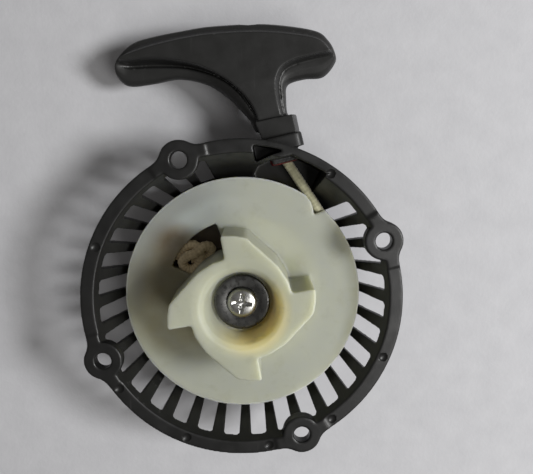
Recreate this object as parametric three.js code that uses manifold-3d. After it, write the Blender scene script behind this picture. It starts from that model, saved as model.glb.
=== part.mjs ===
// Recoil starter of a small engine: a slotted bowl housing, a sprung rope reel with a
// ratchet hub, its washer and screw, the rope, a rope guide and a T-handle.
// Millimetres. Origin on the reel's axis in the plane of the outer face, +Z towards the
// engine, +Y towards the handle.
import * as THREE from 'three';
import { mergeVertices } from 'three/addons/utils/BufferGeometryUtils.js';
import Module from 'manifold-3d';

const wasm = await Module();
wasm.setup();

const rad = THREE.MathUtils.degToRad;

// Clearances
const GAP = 0.3; // between pieces that touch
const RUNNING_GAP = 1; // between the reel and the housing

// Housing: bowl and mounting ring
const RING_Z = 38; // height of the mounting ring above the outer face
const RING_R = 65;
const RING_THICKNESS = 3.6;
const RING_WIDTH = 5.4; // the ring's flat face, from its outer edge to the bowl's mouth
const WALL_LEAN = rad(22.7); // the bowl wall's lean from the axis
const WALL = 2.7;
const FLOOR = 3;
const FACE_CHAMFER = 1.4;
const FACE_GROOVE_R = 27; // inside of the shallow groove moulded round the outer face
const FACE_GROOVE_WIDTH = 3;
const FACE_GROOVE_DEPTH = 0.8;

// Housing: cooling slots
const SLOT_POSITIONS = 32; // equal divisions of the circle
const SLOT_WIDTH = 6.4;
const SLOT_CORNER = 1.3;
const SLOT_TOP_DROP = 3.8; // from the ring's face down to the slots
const SLOT_BOTTOM_Z = 8;
const PLAIN_FROM = 44; // no slots between these angles, in degrees
const PLAIN_TO = 105;

// Housing: bolt ears
const EAR_COUNT = 4;
const EAR_ANGLE = 23.4; // the first ear, in degrees; spokes are counted from it
const EAR_INSET = 3.3; // from the ring's outer edge in to the bolt circle
const EAR_R = 7.8;
const EAR_HOLE_R = 3.35;
const EAR_THICKNESS = 5.6;
const EAR_SHOULDER_ANGLE = 9.5; // where the ear's straight flanks meet the ring
const EAR_FLANK_ANGLE = 62; // where the flanks leave the ear's round end
const EAR_ROOT = 3.5; // how far the flanks reach into the ring
const PAD_RISE = 0.6; // the ears and the pads beside them stand above the ring
const PAD_HALF_ANGLE = 11;
const PAD_MARGIN = 0.6; // from the ring's edges in to the pads

// Housing: centre post and spring well
const POST_R = 8;
const POST_DROP = 0.8; // from the ring's face down to the post's top
const POST_BORE_SPACE = 6; // depth of the bore beyond the screw's tip
const WELL_WALL = 2;
const WELL_SIDE = 1.96; // between the well's wall and the bowl, at the floor
const WELL_CLEARANCE = 2.4; // between the well's wall and the reel
const HOOK_SLOT_ANGLE = 1.8; // half of the slot for the spring's outer hook, in degrees

// Pull line: the straight path of the rope from the guide to the handle
const PULL_ANGLE = rad(104);
const PULL_OFFSET = 30.3; // from the reel's axis to the pull line

// Housing: rope chamber and outlet boss, placed along and across the pull line
const OUTLET_INSET = 13; // from the ring's outer edge in to the chamber's outlet wall
const CHAMBER_RIM = 3.7; // width of the ring left outside the chamber
const CHAMBER_DEPTH = 8.4; // from the rope's centre line down to the chamber's floor
const CHAMBER_WALL = 2.5;
const CHAMBER_STEP = 1.3; // from the bowl out to the chamber's corners, at its floor
const CHAMBER_OVERLAP = 8; // how far the chamber's cut reaches into the bowl
const CHAMBER_START = 85; // the chamber's ends, in degrees
const CHAMBER_END = 57;
const CHAMBER_LEFT = 4.8; // the outlet wall's flat part, to the left and right of the pull line
const CHAMBER_RIGHT = 3.2;
const CHAMBER_CORNER = 2.3; // the outlet wall's left end lies that much further out
const CHAMBER_CORNER_ANGLE = 1.6;
const CHAMBER_BEND_ANGLE = 10; // where the wall under the ring meets the outlet wall, from the right end
const POCKET_DEPTH = 12; // blind core between the outlet wall and the ring
const POCKET_BAND = 2.5; // width of the ring left outside that core
const POCKET_WALL = 2; // outlet wall left between that core and the chamber
const POCKET_INSET = 9.3; // from the ring's outer edge in to the core's left corner
const POCKET_START = 86; // the part of the ring that the core runs along, in degrees
const POCKET_END = 76;
const POCKET_CORNER = 1.5; // how far the left corner lies inside that part, in degrees
const BOSS_INSET = 4.7; // from the ring's outer edge in to the boss's end
const BOSS_HALF_WIDTH = 9.3;
const BOSS_HALF_HEIGHT = 10.5;
const BOSS_CORNER = 3;

// Reel
const REEL_DROP = 13.6; // from the ring's face down to the reel's top face
const REEL_SIDE = 3.8; // between the upper flange and the bowl
const FLANGE_STEP = 1; // the lower flange is that much smaller
const FLANGE = 1.8;
const ROPE_SIDE = 0.6; // how much wider the groove is than the rope
const DRUM_R = 33;
const HUB_ROOT_R = 20.3; // inside corner between one tooth's back and the next one's flank
const HUB_TIP_R = 29.5;
const HUB_WAIST_R = 22; // on the teeth's backs
const HUB_WALL = 1.3; // between the hub's underside hollow and the roots
const HUB_ROOF = 3.2; // over the underside hollow
const ARBOR_WALL = 3.6; // sleeve that runs on the post and winds the spring
const HUB_RISE = 13; // the hub's top above the ring's face
const TOOTH_COUNT = 4;
const TOOTH_ANGLE = 15.7;
const RECESS_MARGIN = 1.2; // round the washer
const RECESS_FLARE = 2.4;
const CORE_CLEARANCE = 1; // hub wall between the arbor and the underside hollow
const WINDOW_RIM = 1.7; // drum wall outside the knot window
const WINDOW_FROM = 112.5; // knot window, in degrees
const WINDOW_TO = 158;
const WINDOW_FLOOR = 1.4;
const CORD_HOLE_ANGLE = 150; // the rope's way from the groove into the window
const CORD_HOLE_HALF_ANGLE = 3;
const NOTCH_R = 2.7; // notch in the upper flange's rim
const NOTCH_ANGLE = 48;

// Washer, screw and insert
const WASHER_R = 11.2;
const WASHER_THICKNESS = 1.3;
const SCREW_R = 3;
const SCREW_LENGTH = 16;
const TIP_CHAMFER = 0.6;
const TIP_LENGTH = 0.8;
const HEAD_R = 6.1;
const HEAD_HEIGHT = 2.6;
const HEAD_EDGE = 1.1; // height of the head's straight side
const HEAD_SHOULDER = 1; // width of the slope over that side
const HEAD_SHOULDER_DROP = 0.4; // from the head's top down to that slope
const HEAD_FLAT_INSET = 3; // from the head's edge in to its flat top
const RECESS_ARM = 3.3; // cross recess
const RECESS_HALF_WIDTH = 0.75;
const RECESS_DEPTH = 1.8;
const INSERT_LENGTH = 14;
const INSERT_WALL = 1.3;
const INSERT_BORE_CLEARANCE = 0.2;

// Spring
const SPRING_STRIP = 0.7;
const SPRING_TURNS = 9;
const SPRING_HOOK = 1.6;
const SPRING_HOOK_ANGLE = 2.8; // width of the inner hook, in degrees
const SPRING_SIDE = 0.5; // between the spring and its neighbours
const HOOK_NOTCH_FLOOR = 1.2; // arbor wall left under the notch for the inner hook
const HOOK_NOTCH_HALF_ANGLE = 5; // half of that notch, in degrees

// Rope
const ROPE_R = 1.9;
const TURN_MARGIN = 1.2; // from the flange's rim to the rope's outermost turn
const WINDING_CHAMFER = 1;
const WRAP_ANGLE = 75; // part of the outermost turn that is a solid of its own
const REEL_KNOT_HALF = [7.6, 4.2, 3.4]; // half length, width and height
const REEL_KNOT_ANGLE = 140.5;
const REEL_KNOT_TURN = 48; // the knot's long direction, in degrees
const REEL_KNOT_INSET = 4.7; // from the window's outer edge to the knot's middle

// Rope guide
const GUIDE_CLEARANCE = 0.55; // round the rope
const GUIDE_WALL = 1.25;
const GUIDE_RIM = 2; // the flange beyond the mouth
const GUIDE_FLANGE = 3.2;
const GUIDE_SEAT = 0.5; // depth of the flange's seat in the outlet wall
const GUIDE_FUNNEL = 4; // length of the flared mouth
const ROPE_BEND = 3.4; // from the guide's face in to where the rope turns onto the pull line
const BEND_REACH = 2; // the bend's length to each side
const MOUTH_CLEARANCE = 0.4; // round the slanting rope, at the guide's face
const GUIDE_DROP = 2; // from the boss's end in to the sleeve's end

// Handle, in its own frame: +Y along the pull line, +X to the right, Z across its thickness
const HANDLE_ROLL = rad(9); // the long arm lies lower than the short one
const HANDLE_THICKNESS = 22;
const HANDLE_EDGE = 4; // width of the sloping edges round the grip
const HANDLE_EDGE_DEPTH = 7;
const NECK_HALF_THICKNESS = 6.4; // at the collar; it grows to the grip's full thickness
const NECK_END = 26; // where the neck has the grip's thickness
const COLLAR_HALF_WIDTH = 7.8;
const COLLAR_HALF_THICKNESS = 7.6;
const COLLAR_LENGTH = 7.4;
const COLLAR_SHIFT = 1.1; // the collar's middle, to the right of the rope
const COLLAR_CORNER = 0.8;
const HANDLE_BORE_CLEARANCE = 0.7; // round the rope
const KNOT_POCKET_START = 33;
const KNOT_R = 5;
const KNOT_FLATNESS = 0.8;
const KNOT_POCKET_CLEARANCE = 1.4;

// Heights and radii that follow from the sizes above
const MOUTH_R = RING_R - RING_WIDTH;
const bowlR = (z) => MOUTH_R - (RING_Z - z) * Math.tan(WALL_LEAN); // inside of the bowl
const PAD_TOP = RING_Z + PAD_RISE;
const EAR_CIRCLE_R = RING_R - EAR_INSET;
const GROOVE = 2 * ROPE_R + ROPE_SIDE;
const REEL_TOP = RING_Z - REEL_DROP;
const GROOVE_TOP = REEL_TOP - FLANGE;
const GROOVE_BOTTOM = GROOVE_TOP - GROOVE;
const REEL_BOTTOM = GROOVE_BOTTOM - FLANGE;
const REEL_R = bowlR(GROOVE_TOP) - REEL_SIDE;
const ROPE_Z = (GROOVE_TOP + GROOVE_BOTTOM) / 2;
const HUB_TOP = RING_Z + HUB_RISE;
const POST_TOP = RING_Z - POST_DROP;
const POST_BORE_R = SCREW_R + INSERT_BORE_CLEARANCE + INSERT_WALL + GAP;
const BORE_R = POST_R + GAP;
const ARBOR_R = BORE_R + ARBOR_WALL;
const ARBOR_BOTTOM = FLOOR + RUNNING_GAP;
const HUB_CORE_R = HUB_ROOT_R - HUB_WALL;
const RECESS_FLOOR = POST_TOP - GAP;
const RECESS_R = WASHER_R + RECESS_MARGIN;
const WINDOW_R = DRUM_R - WINDOW_RIM;
const WELL_R = bowlR(FLOOR) - WELL_SIDE - WELL_WALL;
const WELL_Z = REEL_BOTTOM - WELL_CLEARANCE;
const ROPE_TURN_R = REEL_R - ROPE_R - TURN_MARGIN; // centre line of the outermost turn
const WINDING_R = ROPE_TURN_R - ROPE_R - GAP;
const CHAMBER_FACE = RING_R - OUTLET_INSET;
const CHAMBER_R = RING_R - CHAMBER_RIM;
const CHAMBER_FLOOR_Z = ROPE_Z - CHAMBER_DEPTH;
const BOSS_END = RING_R - BOSS_INSET;
const GUIDE_BORE_R = ROPE_R + GUIDE_CLEARANCE;
const GUIDE_R = GUIDE_BORE_R + GUIDE_WALL;
const GUIDE_FACE = CHAMBER_FACE + GUIDE_SEAT - GAP - GUIDE_FLANGE;
const BEND_ALONG = GUIDE_FACE + ROPE_BEND;
const ROPE_SLANT = Math.asin(ROPE_TURN_R / Math.hypot(BEND_ALONG, PULL_OFFSET))
  - Math.atan2(PULL_OFFSET, BEND_ALONG);
const GUIDE_MOUTH_R = ROPE_BEND * Math.tan(ROPE_SLANT) + ROPE_R / Math.cos(ROPE_SLANT) + MOUTH_CLEARANCE;
const GUIDE_FLANGE_R = GUIDE_MOUTH_R + GUIDE_RIM;
const HANDLE_BORE_R = ROPE_R + HANDLE_BORE_CLEARANCE;
const KNOT_POCKET_R = KNOT_R + KNOT_POCKET_CLEARANCE;

// Solids

function toManifold(geometry) {
  const bare = geometry.index ? geometry.toNonIndexed() : geometry.clone();
  bare.deleteAttribute('normal');
  bare.deleteAttribute('uv');
  const merged = mergeVertices(bare, 1e-4);
  return new wasm.Manifold(new wasm.Mesh({
    numProp: 3,
    vertProperties: new Float32Array(merged.attributes.position.array),
    triVerts: new Uint32Array(merged.index.array),
  }));
}

function toGeometry(manifold) {
  const mesh = manifold.getMesh();
  const geometry = new THREE.BufferGeometry();
  geometry.setAttribute('position', new THREE.BufferAttribute(new Float32Array(mesh.vertProperties), 3));
  geometry.setIndex(new THREE.BufferAttribute(new Uint32Array(mesh.triVerts), 1));
  geometry.computeVertexNormals();
  return geometry;
}

const join = (solids) => solids.reduce((sum, solid) => sum.add(solid));
const cut = (solid, tools) => solid.subtract(join(tools));

// Revolves [radius, height] points about Z; the profile starts and ends on the axis.
function lathe(points, segments = 64) {
  const profile = points.map(([r, z]) => new THREE.Vector2(r, z));
  const geometry = new THREE.LatheGeometry(profile, segments);
  geometry.rotateX(Math.PI / 2);
  return toManifold(orient(geometry));
}

// Turns a geometry's faces outwards when its signed volume is negative.
function orient(geometry) {
  const flat = geometry.index ? geometry.toNonIndexed() : geometry;
  const p = flat.attributes.position;
  const a = new THREE.Vector3();
  const b = new THREE.Vector3();
  const c = new THREE.Vector3();
  let volume = 0;
  for (let i = 0; i < p.count; i += 3) {
    a.fromBufferAttribute(p, i);
    b.fromBufferAttribute(p, i + 1);
    c.fromBufferAttribute(p, i + 2);
    volume += a.dot(b.cross(c));
  }
  if (volume < 0) {
    for (let i = 0; i < p.count; i += 3) {
      a.fromBufferAttribute(p, i + 1);
      b.fromBufferAttribute(p, i + 2);
      p.setXYZ(i + 1, b.x, b.y, b.z);
      p.setXYZ(i + 2, a.x, a.y, a.z);
    }
  }
  return flat;
}

// Extrudes an outline of Vector2 points from one height to another.
function prism(points, bottom, top) {
  const geometry = new THREE.ExtrudeGeometry(new THREE.Shape(points), {
    depth: top - bottom,
    bevelEnabled: false,
  });
  geometry.translate(0, 0, bottom);
  return toManifold(geometry);
}

function cylinder(radius, bottom, top, segments = 32) {
  return lathe([[0, bottom], [radius, bottom], [radius, top], [0, top]], segments);
}

const polar = (r, degrees) => new THREE.Vector2(r * Math.cos(rad(degrees)), r * Math.sin(rad(degrees)));

function arc(r, from, to, steps) {
  return Array.from({ length: steps + 1 }, (_, i) => polar(r, from + ((to - from) * i) / steps));
}

const sector = (inner, outer, from, to, steps) => [
  ...arc(inner, from, to, steps),
  ...arc(outer, to, from, steps),
];

function roundedRectangle(width, height, corner, steps = 2) {
  const points = [];
  const centres = [[1, 1, 0], [-1, 1, 90], [-1, -1, 180], [1, -1, 270]];
  for (const [sx, sy, start] of centres) {
    const centre = new THREE.Vector2(sx * (width / 2 - corner), sy * (height / 2 - corner));
    points.push(...arc(corner, start, start + 90, steps).map((p) => p.add(centre)));
  }
  return points;
}

// A point at a distance along the pull line and a distance across it, to its right.
function pullPoint(along, across) {
  const offset = PULL_OFFSET + across;
  return new THREE.Vector2(
    along * Math.cos(PULL_ANGLE) + offset * Math.sin(PULL_ANGLE),
    along * Math.sin(PULL_ANGLE) - offset * Math.cos(PULL_ANGLE),
  );
}

// Lays a solid made along +Z onto the pull line at the rope's height, its X to the right.
const pullPlacement = (() => {
  const start = pullPoint(0, 0);
  const along = new THREE.Vector3(Math.cos(PULL_ANGLE), Math.sin(PULL_ANGLE), 0);
  const across = new THREE.Vector3(Math.sin(PULL_ANGLE), -Math.cos(PULL_ANGLE), 0);
  const matrix = new THREE.Matrix4().makeBasis(across, new THREE.Vector3(0, 0, -1), along);
  return matrix.setPosition(start.x, start.y, ROPE_Z);
})();
const onPullLine = (solid) => toManifold(toGeometry(solid).applyMatrix4(pullPlacement));

// Housing

function earAngles() {
  return Array.from({ length: EAR_COUNT }, (_, i) => EAR_ANGLE + (360 / EAR_COUNT) * i);
}

function slotAngles() {
  const pitch = 360 / SLOT_POSITIONS;
  return Array.from({ length: SLOT_POSITIONS }, (_, i) => (EAR_ANGLE + pitch * (i + 0.5)) % 360)
    .filter((angle) => angle < PLAIN_FROM || angle > PLAIN_TO);
}

function slotCutter(angle) {
  const top = RING_Z - SLOT_TOP_DROP;
  const height = top - SLOT_BOTTOM_Z;
  const outline = roundedRectangle(height, SLOT_WIDTH, SLOT_CORNER);
  const inner = bowlR(SLOT_BOTTOM_Z) - WALL;
  const geometry = new THREE.ExtrudeGeometry(new THREE.Shape(outline), {
    depth: RING_R - inner,
    bevelEnabled: false,
  });
  geometry.rotateY(Math.PI / 2);
  geometry.translate(inner, 0, (top + SLOT_BOTTOM_Z) / 2);
  geometry.rotateZ(rad(angle));
  return toManifold(geometry);
}

function bowlOutside() {
  const ringBottom = RING_Z - RING_THICKNESS;
  return lathe([
    [0, 0],
    [bowlR(0) + WALL - FACE_CHAMFER, 0],
    [bowlR(FACE_CHAMFER) + WALL, FACE_CHAMFER],
    [bowlR(ringBottom) + WALL, ringBottom],
    [RING_R, ringBottom],
    [RING_R, RING_Z],
    [0, RING_Z],
  ]);
}

function bowlInside() {
  const above = PAD_TOP + 1;
  return lathe([[0, FLOOR], [bowlR(FLOOR), FLOOR], [MOUTH_R, RING_Z], [MOUTH_R, above], [0, above]]);
}

// Opens the bowl's wall towards the outlet.
function chamberOutline() {
  const foot = bowlR(CHAMBER_FLOOR_Z);
  return [
    polar(foot + CHAMBER_STEP, CHAMBER_START),
    polar(CHAMBER_FACE + CHAMBER_CORNER, CHAMBER_START - CHAMBER_CORNER_ANGLE),
    pullPoint(CHAMBER_FACE, -CHAMBER_LEFT),
    pullPoint(CHAMBER_FACE, CHAMBER_RIGHT),
    ...arc(CHAMBER_R, CHAMBER_END + CHAMBER_BEND_ANGLE, CHAMBER_END, 3),
    polar(foot + CHAMBER_STEP, CHAMBER_END - 2),
    polar(foot - CHAMBER_OVERLAP, (CHAMBER_START + CHAMBER_END) / 2),
  ];
}

function chamberOutside() {
  return prism(
    sector(WELL_R, CHAMBER_R + CHAMBER_WALL, CHAMBER_END - 5, CHAMBER_START + 4, 10),
    CHAMBER_FLOOR_Z - CHAMBER_WALL,
    RING_Z - RING_THICKNESS / 2,
  );
}

// Blind core between the chamber's outlet wall and the ring.
function coreOut() {
  const wall = CHAMBER_FACE + POCKET_WALL;
  const outer = RING_R - POCKET_BAND;
  const outline = [
    polar(RING_R - POCKET_INSET, POCKET_START - POCKET_CORNER),
    pullPoint(wall, -CHAMBER_LEFT),
    pullPoint(wall + GAP, 0),
    polar(outer, POCKET_END),
    polar(outer, POCKET_START),
  ];
  return prism(outline, RING_Z - POCKET_DEPTH, RING_Z + 1);
}

function ear(angle) {
  const centre = polar(EAR_CIRCLE_R, angle);
  const shoulder = (side) => [
    polar(RING_R - EAR_ROOT, angle + side * EAR_SHOULDER_ANGLE),
    polar(RING_R - 1, angle + side * EAR_SHOULDER_ANGLE),
    polar(EAR_R - 0.2, angle + side * EAR_FLANK_ANGLE).add(centre),
  ];
  const bottom = PAD_TOP - EAR_THICKNESS;
  const lug = cylinder(EAR_R, bottom, PAD_TOP).translate([centre.x, centre.y, 0]);
  return [prism([...shoulder(-1), ...shoulder(1).reverse()], bottom, PAD_TOP), lug];
}

function pad(angle) {
  const inner = MOUTH_R + PAD_MARGIN;
  const outline = sector(
    inner, RING_R - PAD_MARGIN, angle - PAD_HALF_ANGLE, angle + PAD_HALF_ANGLE, 5,
  );
  return prism(outline, RING_Z - RING_THICKNESS / 2, PAD_TOP);
}

function earHole(angle) {
  const centre = polar(EAR_CIRCLE_R, angle);
  return cylinder(EAR_HOLE_R, PAD_TOP - 2 * EAR_THICKNESS, PAD_TOP + 1, 16)
    .translate([centre.x, centre.y, 0]);
}

function outletBoss() {
  const outline = roundedRectangle(2 * BOSS_HALF_WIDTH, 2 * BOSS_HALF_HEIGHT, BOSS_CORNER);
  return onPullLine(prism(outline, CHAMBER_FACE + CHAMBER_WALL, BOSS_END));
}

function housing() {
  const bowl = join([bowlOutside(), chamberOutside()]);
  const hollow = cut(bowl, [
    bowlInside(),
    prism(chamberOutline(), CHAMBER_FLOOR_Z, RING_Z + 1),
    ...slotAngles().map(slotCutter),
  ]);
  const well = lathe([
    [WELL_R, FLOOR - 1], [WELL_R + WELL_WALL, FLOOR - 1],
    [WELL_R + WELL_WALL, WELL_Z], [WELL_R, WELL_Z], [WELL_R, FLOOR - 1],
  ]);
  const full = join([
    hollow,
    well,
    cylinder(POST_R, FLOOR - 1, POST_TOP),
    outletBoss(),
    ...earAngles().flatMap(ear),
    ...earAngles().map(pad),
  ]);
  const hookSlot = prism(
    sector(WELL_R - 1, WELL_R + WELL_WALL + 1, 180 - HOOK_SLOT_ANGLE, 180 + HOOK_SLOT_ANGLE, 1),
    FLOOR, WELL_Z + 1,
  );
  const groove = lathe([
    [FACE_GROOVE_R, -1], [FACE_GROOVE_R + FACE_GROOVE_WIDTH, -1],
    [FACE_GROOVE_R + FACE_GROOVE_WIDTH, FACE_GROOVE_DEPTH], [FACE_GROOVE_R, FACE_GROOVE_DEPTH],
    [FACE_GROOVE_R, -1],
  ]);
  return cut(full, [
    cylinder(POST_BORE_R, POST_TOP - SCREW_LENGTH - POST_BORE_SPACE, POST_TOP + 1, 32),
    onPullLine(cylinder(GUIDE_R + GAP, CHAMBER_FACE - 2, BOSS_END + 1, 24)),
    onPullLine(cylinder(GUIDE_FLANGE_R + GAP, GUIDE_FACE - 2, CHAMBER_FACE + GUIDE_SEAT, 32)),
    coreOut(),
    hookSlot,
    groove,
    ...earAngles().map(earHole),
  ]);
}

// Reel

// Four ratchet teeth: a radial driving flank, a land, and a long back down to the next root.
function hubOutline() {
  const step = 360 / TOOTH_COUNT;
  const tooth = [
    [HUB_ROOT_R, 2.5], [HUB_TIP_R, 0], [HUB_TIP_R - 0.8, -10], [HUB_TIP_R - 1.6, -19.5],
    [HUB_WAIST_R, -55], [HUB_WAIST_R - 1, -75],
  ];
  return Array.from({ length: TOOTH_COUNT }, (_, i) =>
    tooth.map(([r, angle]) => polar(r, TOOTH_ANGLE - i * step + angle))).flat();
}

function reel() {
  const lowerR = REEL_R - FLANGE_STEP;
  const body = lathe([
    [0, ARBOR_BOTTOM],
    [ARBOR_R, ARBOR_BOTTOM],
    [ARBOR_R, REEL_BOTTOM],
    [lowerR, REEL_BOTTOM],
    [lowerR, GROOVE_BOTTOM],
    [DRUM_R, GROOVE_BOTTOM],
    [DRUM_R, GROOVE_TOP],
    [REEL_R, GROOVE_TOP],
    [REEL_R, REEL_TOP],
    [0, REEL_TOP],
  ], 72);
  const window = prism(
    sector(ARBOR_R + ARBOR_WALL, WINDOW_R, WINDOW_FROM, WINDOW_TO, 6),
    REEL_BOTTOM + WINDOW_FLOOR, REEL_TOP + 1,
  );
  const solid = join([cut(body, [window]), prism(hubOutline(), REEL_BOTTOM, HUB_TOP)]);
  const roof = RECESS_FLOOR - HUB_ROOF;
  const core = lathe([
    [ARBOR_R + CORE_CLEARANCE, REEL_BOTTOM - 1], [HUB_CORE_R, REEL_BOTTOM - 1],
    [HUB_CORE_R - 1, roof], [ARBOR_R + CORE_CLEARANCE, roof],
    [ARBOR_R + CORE_CLEARANCE, REEL_BOTTOM - 1],
  ], 48);
  const recess = lathe([
    [0, RECESS_FLOOR], [RECESS_R, RECESS_FLOOR],
    [RECESS_R + RECESS_FLARE, HUB_TOP + 1], [0, HUB_TOP + 1],
  ], 48);
  const notch = polar(REEL_R, NOTCH_ANGLE);
  const holeFrom = CORD_HOLE_ANGLE - CORD_HOLE_HALF_ANGLE;
  const holeTo = CORD_HOLE_ANGLE + CORD_HOLE_HALF_ANGLE;
  const holeHalf = ROPE_R + ROPE_SIDE / 3;
  const notchR = BORE_R + HOOK_NOTCH_FLOOR;
  return cut(solid, [
    core,
    cylinder(BORE_R, 0, HUB_TOP, 48),
    recess,
    cylinder(NOTCH_R, GROOVE_TOP - 1, REEL_TOP + 1, 16).translate([notch.x, notch.y, 0]),
    prism(sector(WINDOW_R - 2, DRUM_R + 1, holeFrom, holeTo, 1), ROPE_Z - holeHalf, ROPE_Z + holeHalf),
    prism(
      sector(notchR, ARBOR_R + 0.5, -HOOK_NOTCH_HALF_ANGLE, HOOK_NOTCH_HALF_ANGLE, 2),
      ARBOR_BOTTOM - 1, REEL_BOTTOM - 1,
    ),
  ]);
}

// Fasteners on the post

function washer() {
  const bottom = POST_TOP + GAP;
  const inner = SCREW_R + GAP;
  return lathe([
    [inner, bottom], [WASHER_R, bottom], [WASHER_R, bottom + WASHER_THICKNESS],
    [inner, bottom + WASHER_THICKNESS], [inner, bottom],
  ], 40);
}

function crossRecess(bottom, top) {
  const blade = [
    new THREE.Vector2(-RECESS_ARM, -RECESS_HALF_WIDTH), new THREE.Vector2(RECESS_ARM, -RECESS_HALF_WIDTH),
    new THREE.Vector2(RECESS_ARM, RECESS_HALF_WIDTH), new THREE.Vector2(-RECESS_ARM, RECESS_HALF_WIDTH),
  ];
  const across = blade.map((p) => new THREE.Vector2(-p.y, p.x));
  return join([prism(blade, bottom, top), prism(across, bottom, top)]);
}

function screw() {
  const seat = POST_TOP + GAP + WASHER_THICKNESS + GAP;
  const top = seat + HEAD_HEIGHT;
  const solid = lathe([
    [0, seat - SCREW_LENGTH], [SCREW_R - TIP_CHAMFER, seat - SCREW_LENGTH],
    [SCREW_R, seat - SCREW_LENGTH + TIP_LENGTH], [SCREW_R, seat],
    [HEAD_R, seat], [HEAD_R, seat + HEAD_EDGE], [HEAD_R - HEAD_SHOULDER, top - HEAD_SHOULDER_DROP],
    [HEAD_R - HEAD_FLAT_INSET, top], [0, top],
  ], 32);
  return cut(solid, [crossRecess(top - RECESS_DEPTH, top + 1)]);
}

function insert() {
  const top = POST_TOP - GAP;
  const bottom = top - INSERT_LENGTH;
  const outer = POST_BORE_R - GAP;
  const inner = SCREW_R + INSERT_BORE_CLEARANCE;
  return lathe([[inner, bottom], [outer, bottom], [outer, top], [inner, top], [inner, bottom]], 32);
}

// Spring: a flat strip wound outwards from the arbor to the well's wall, hooked at both ends.
function spring() {
  const bottom = FLOOR + SPRING_SIDE;
  const top = WELL_Z - SPRING_SIDE;
  const start = ARBOR_R + SPRING_SIDE;
  const end = WELL_R - SPRING_SIDE - SPRING_STRIP;
  const hookEnd = end + SPRING_STRIP + SPRING_HOOK;
  const steps = SPRING_TURNS * 18;
  const side = (extra) => Array.from({ length: steps + 1 }, (_, i) => {
    const t = i / steps;
    return polar(start + (end - start) * t + extra, 360 * (SPRING_TURNS - 0.5) * t);
  });
  const outer = side(SPRING_STRIP);
  const inner = side(0);
  const outline = [
    polar(start - SPRING_HOOK, SPRING_HOOK_ANGLE),
    polar(start, SPRING_HOOK_ANGLE),
    ...inner.slice(1),
    polar(hookEnd, 180),
    polar(hookEnd, 180 - 1),
    polar(end + SPRING_STRIP, 180 - 1),
    ...outer.slice(0, -1).reverse(),
    polar(start - SPRING_HOOK, 0),
  ];
  return prism(outline, bottom, top);
}

// Rope

function tube(curve, radius, steps, sides = 10) {
  const section = new THREE.Shape(arc(radius, 0, 360 - 360 / sides, sides - 1));
  const geometry = new THREE.ExtrudeGeometry(section, { steps, bevelEnabled: false, extrudePath: curve });
  return toManifold(orient(geometry));
}

function winding() {
  const half = ROPE_R + ROPE_SIDE / 4;
  const inner = DRUM_R + GAP;
  return lathe([
    [inner, ROPE_Z - half], [WINDING_R - WINDING_CHAMFER, ROPE_Z - half],
    [WINDING_R, ROPE_Z - half + WINDING_CHAMFER], [WINDING_R, ROPE_Z + half - WINDING_CHAMFER],
    [WINDING_R - WINDING_CHAMFER, ROPE_Z + half], [inner, ROPE_Z + half],
    [inner, ROPE_Z - half],
  ], 48);
}

// From the reel's outermost turn, straight off its tangent into the guide, then along the
// pull line to the handle.
function ropeRun() {
  const bend = pullPoint(BEND_ALONG, 0);
  const reach = bend.length();
  const tangentAngle = THREE.MathUtils.radToDeg(bend.angle() - Math.acos(ROPE_TURN_R / reach));
  const tangent = polar(ROPE_TURN_R, tangentAngle);
  const beforeBend = bend.clone().add(tangent.clone().sub(bend).setLength(BEND_REACH));
  const afterBend = pullPoint(BEND_ALONG + BEND_REACH, 0);
  const end = pullPoint(BOSS_END, 0);
  const lift = (p) => new THREE.Vector3(p.x, p.y, ROPE_Z);
  const path = new THREE.CurvePath();
  const wrap = arc(ROPE_TURN_R, tangentAngle - WRAP_ANGLE, tangentAngle, 12).map(lift);
  path.add(new THREE.CatmullRomCurve3(wrap));
  path.add(new THREE.LineCurve3(lift(tangent), lift(beforeBend)));
  path.add(new THREE.QuadraticBezierCurve3(lift(beforeBend), lift(bend), lift(afterBend)));
  path.add(new THREE.LineCurve3(lift(afterBend), lift(end)));
  return tube(path, ROPE_R, 44);
}

function reelKnot() {
  const place = polar(WINDOW_R - REEL_KNOT_INSET, REEL_KNOT_ANGLE);
  const geometry = new THREE.SphereGeometry(1, 16, 10);
  geometry.scale(...REEL_KNOT_HALF);
  geometry.rotateZ(rad(REEL_KNOT_TURN));
  geometry.translate(place.x, place.y, REEL_BOTTOM + WINDOW_FLOOR + GAP + REEL_KNOT_HALF[2]);
  return toManifold(geometry);
}

// Rope guide: a flanged eyelet in the outlet wall.
function guide() {
  const end = BOSS_END - GUIDE_DROP;
  return onPullLine(lathe([
    [GUIDE_MOUTH_R, GUIDE_FACE], [GUIDE_FLANGE_R, GUIDE_FACE],
    [GUIDE_FLANGE_R, GUIDE_FACE + GUIDE_FLANGE], [GUIDE_R, GUIDE_FACE + GUIDE_FLANGE],
    [GUIDE_R, end], [GUIDE_BORE_R, end],
    [GUIDE_BORE_R, GUIDE_FACE + GUIDE_FUNNEL], [GUIDE_MOUTH_R, GUIDE_FACE],
  ], 32));
}

// Handle

function handleOutline() {
  const shape = new THREE.Shape();
  shape.moveTo(-7.5, 3);
  shape.lineTo(7.2, 3);
  shape.lineTo(7.2, 14);
  shape.quadraticCurveTo(7.6, 19, 13.5, 19.4);
  shape.lineTo(23.5, 18.4);
  shape.quadraticCurveTo(28, 18.5, 30, 24);
  shape.quadraticCurveTo(31.2, 30, 25.6, 35.4);
  shape.bezierCurveTo(16, 41, -2, 47.6, -30, 50);
  shape.lineTo(-50, 51);
  shape.quadraticCurveTo(-56, 50.6, -58, 46);
  shape.lineTo(-58.4, 41);
  shape.quadraticCurveTo(-59, 36, -54, 35);
  shape.bezierCurveTo(-38, 31.6, -24, 26, -16, 16);
  shape.quadraticCurveTo(-10, 9, -7.5, 3);
  return shape;
}

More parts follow.
